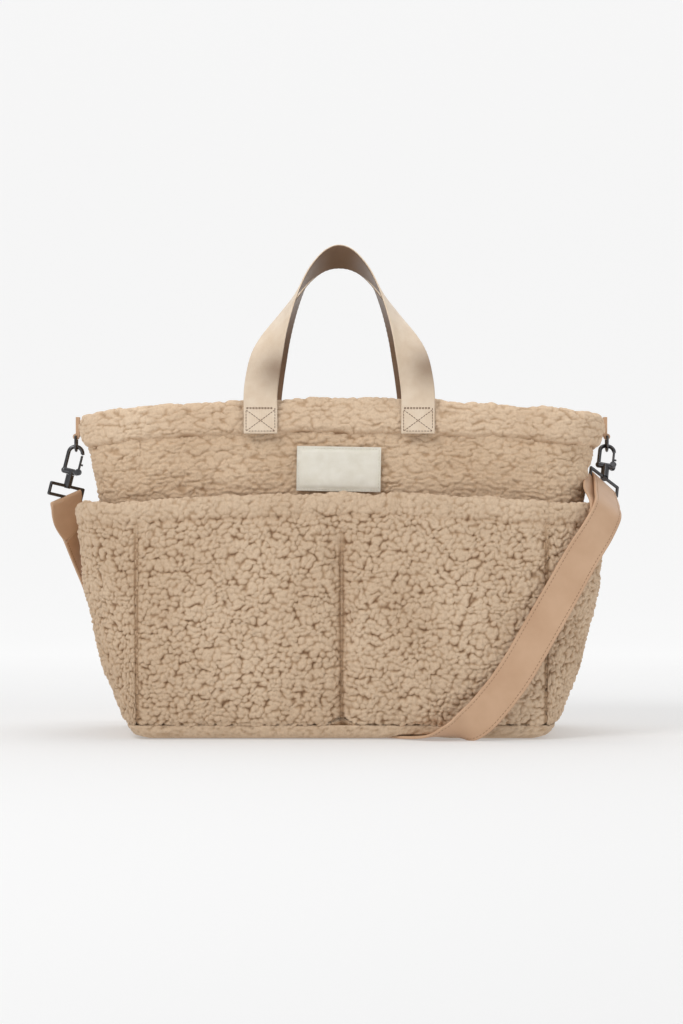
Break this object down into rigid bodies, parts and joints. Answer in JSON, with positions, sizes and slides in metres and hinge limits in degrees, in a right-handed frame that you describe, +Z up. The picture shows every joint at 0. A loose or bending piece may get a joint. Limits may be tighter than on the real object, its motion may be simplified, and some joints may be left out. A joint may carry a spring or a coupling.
{
  "type": "diaper bag",
  "caption": "Open-topped fleece changing tote with a pocket skirt, two webbing carry handles and a clip-on shoulder strap.",
  "frame": {"origin": "on the floor, under the middle of the base", "axes": "+X to the right across the front, +Y from front to back, +Z up"},
  "size_m": [0.5231, 0.2434, 0.4432],
  "materials": {
    "fleece": "curly teddy fleece, matt",
    "fleece_hem": "teddy fleece, rolled and stitched hem",
    "foam": "needled foam padding",
    "board": "stiff base board",
    "lining": "plain woven polyester lining",
    "label": "satin woven label, blank",
    "webbing": "satin woven webbing",
    "leather": "smooth coated strap with turned edges",
    "gunmetal": "polished gunmetal plating",
    "steel": "spring steel"
  },
  "bodies": {
    "bag": {"front_panel": "fleece", "rear_panel": "fleece", "left_gusset": "fleece", "right_gusset": "fleece", "base_panel": "fleece", "top_hem_band": "fleece_hem", "front_left_pocket": "fleece", "front_right_pocket": "fleece", "left_side_pocket": "fleece", "right_side_pocket": "fleece", "rear_pocket": "fleece", "front_padding": "foam", "rear_padding": "foam", "base_board": "board", "lining": "lining", "lining_floor": "lining", "inner_pocket": "lining", "front_magnet_snap": "gunmetal", "rear_magnet_snap": "gunmetal", "label": "label", "front_handle_feet": "webbing", "rear_handle_feet": "webbing", "left_tab": "leather", "right_tab": "leather", "left_strap_loop": "gunmetal", "right_strap_loop": "gunmetal", "shoulder_strap": "leather"},
    "front_handle": {"front_handle": "webbing"},
    "rear_handle": {"rear_handle": "webbing"},
    "left_d_ring": {"left_ring": "gunmetal"},
    "right_d_ring": {"right_ring": "gunmetal"},
    "left_clip": {"left_hook": "gunmetal", "left_gate_pin": "gunmetal", "left_gate_spring": "steel"},
    "right_clip": {"right_hook": "gunmetal", "right_gate_pin": "gunmetal", "right_gate_spring": "steel"},
    "left_clip_gate": {"left_gate": "gunmetal"},
    "right_clip_gate": {"right_gate": "gunmetal"}
  },
  "joints": [
    {"name": "front_handle_fold", "type": "hinge", "parent": "bag", "child": "front_handle", "pos_m": [0, -0.0843, 0.3035], "axis": [1, 0, 0], "range_deg": [0, 100]},
    {"name": "rear_handle_fold", "type": "hinge", "parent": "bag", "child": "rear_handle", "pos_m": [0, 0.0843, 0.3035], "axis": [-1, 0, 0], "range_deg": [0, 100]},
    {"name": "left_ring_swing", "type": "hinge", "parent": "bag", "child": "left_d_ring", "pos_m": [-0.244, 0, 0.271], "axis": [0, 1, 0], "range_deg": [-6, 6]},
    {"name": "left_clip_swivel", "type": "hinge", "parent": "bag", "child": "left_clip", "pos_m": [-0.25068, 0, 0.23122], "axis": [0.2419, 0, 0.9703], "range_deg": [-15, 15]},
    {"name": "left_gate_open", "type": "hinge", "parent": "left_clip", "child": "left_clip_gate", "pos_m": [-0.24219, 0, 0.23838], "axis": [0, -1, 0], "range_deg": [0, 25], "stiffness_Nm_per_rad": 0.004, "springref_deg": -17.19},
    {"name": "right_ring_swing", "type": "hinge", "parent": "bag", "child": "right_d_ring", "pos_m": [0.244, 0, 0.271], "axis": [0, 1, 0], "range_deg": [-6, 6]},
    {"name": "right_clip_swivel", "type": "hinge", "parent": "bag", "child": "right_clip", "pos_m": [0.24017, -0.02082, 0.2377], "axis": [0.1387, 0.6018, 0.7865], "range_deg": [-15, 15]},
    {"name": "right_gate_open", "type": "hinge", "parent": "right_clip", "child": "right_clip_gate", "pos_m": [0.24782, -0.01541, 0.24365], "axis": [0.1045, -0.7986, 0.5927], "range_deg": [0, 25], "stiffness_Nm_per_rad": 0.004, "springref_deg": -17.19}
  ]
}
